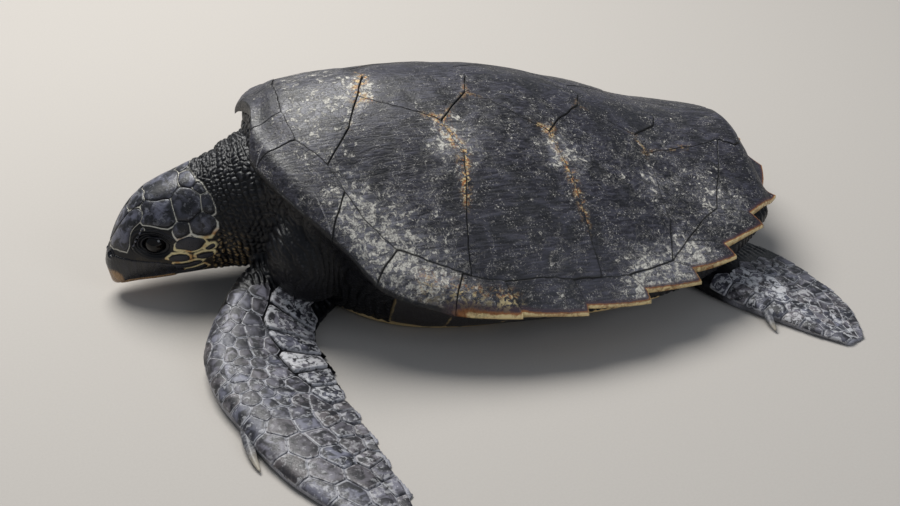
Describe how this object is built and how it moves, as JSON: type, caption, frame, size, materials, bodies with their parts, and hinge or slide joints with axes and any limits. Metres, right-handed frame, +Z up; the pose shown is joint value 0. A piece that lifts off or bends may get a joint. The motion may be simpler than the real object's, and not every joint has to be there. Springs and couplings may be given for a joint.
{
  "type": "sea turtle",
  "caption": "Sea turtle at rest on its plastron, with overlapping shell scutes, hooked beak, scaled flippers and short tail.",
  "frame": {"origin": "on the ground under the middle of the shell, in the flat underside of the plastron", "axes": "-X towards the head, -Y towards the animal's left side, +Z up"},
  "size_m": [0.9218, 1.0225, 0.2755],
  "materials": {
    "scute_horn": "worn satin horn",
    "rim_horn": "worn satin horn with pale edges",
    "plastron_horn": "satin yellow horn",
    "dark_skin": "matt wrinkled skin",
    "head_scales": "satin scales with pale seams",
    "flipper_scales": "dry scales with pale seams",
    "beak_horn": "polished horn",
    "eye_gloss": "wet",
    "claw_horn": "satin horn"
  },
  "bodies": {
    "root": {"arm_left": "dark_skin", "arm_right": "dark_skin", "beak_lower": "beak_horn", "beak_upper": "beak_horn", "bridge_left": "plastron_horn", "bridge_right": "plastron_horn", "claw_front_left": "claw_horn", "claw_front_right": "claw_horn", "claw_hind_left": "claw_horn", "claw_hind_right": "claw_horn", "costal_left_1": "scute_horn", "costal_left_2": "scute_horn", "costal_left_3": "scute_horn", "costal_left_4": "scute_horn", "costal_right_1": "scute_horn", "costal_right_2": "scute_horn", "costal_right_3": "scute_horn", "costal_right_4": "scute_horn", "eye_left": "eye_gloss", "eye_right": "eye_gloss", "flipper_front_left": "flipper_scales", "flipper_front_right": "flipper_scales", "flipper_hind_left": "flipper_scales", "flipper_hind_right": "flipper_scales", "head": "head_scales", "marginal_left_1": "rim_horn", "marginal_left_10": "rim_horn", "marginal_left_11": "rim_horn", "marginal_left_12": "rim_horn", "marginal_left_2": "rim_horn", "marginal_left_3": "rim_horn", "marginal_left_4": "rim_horn", "marginal_left_5": "rim_horn", "marginal_left_6": "rim_horn", "marginal_left_7": "rim_horn", "marginal_left_8": "rim_horn", "marginal_left_9": "rim_horn", "marginal_right_1": "rim_horn", "marginal_right_10": "rim_horn", "marginal_right_11": "rim_horn", "marginal_right_12": "rim_horn", "marginal_right_2": "rim_horn", "marginal_right_3": "rim_horn", "marginal_right_4": "rim_horn", "marginal_right_5": "rim_horn", "marginal_right_6": "rim_horn", "marginal_right_7": "rim_horn", "marginal_right_8": "rim_horn", "marginal_right_9": "rim_horn", "neck": "dark_skin", "nuchal": "rim_horn", "plastron": "plastron_horn", "tail": "dark_skin", "trunk": "dark_skin", "vertebral_1": "scute_horn", "vertebral_2": "scute_horn", "vertebral_3": "scute_horn", "vertebral_4": "scute_horn", "vertebral_5": "scute_horn"}
  },
  "joints": []
}
